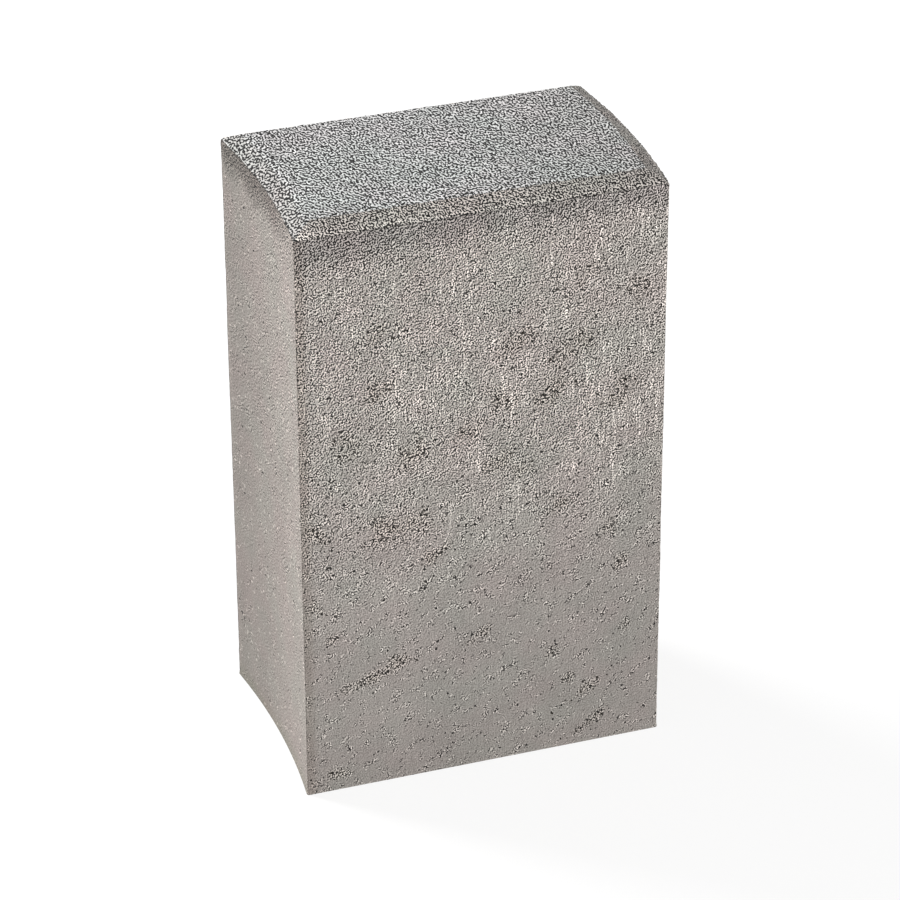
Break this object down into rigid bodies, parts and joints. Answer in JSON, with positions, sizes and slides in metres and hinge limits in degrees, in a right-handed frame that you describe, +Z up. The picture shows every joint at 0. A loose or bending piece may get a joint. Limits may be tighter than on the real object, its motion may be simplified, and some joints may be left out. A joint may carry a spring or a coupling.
{
  "type": "concrete palisade post",
  "caption": "Short upright concrete palisade post with a chamfered top, flat front and rear, and hollow and rounded ends that nest in a row.",
  "frame": {"origin": "middle of the foot, where the post stands on its bed", "axes": "+Z up the post, front face towards -Y, hollow end towards -X, rounded end towards +X"},
  "size_m": [0.2448, 0.155, 0.4],
  "materials": {
    "cast_concrete": "pressed concrete, grey, with an open sandy top, fine drag lines down the faces and small pits"
  },
  "bodies": {
    "root": {"palisade_post": "cast_concrete"}
  },
  "joints": []
}
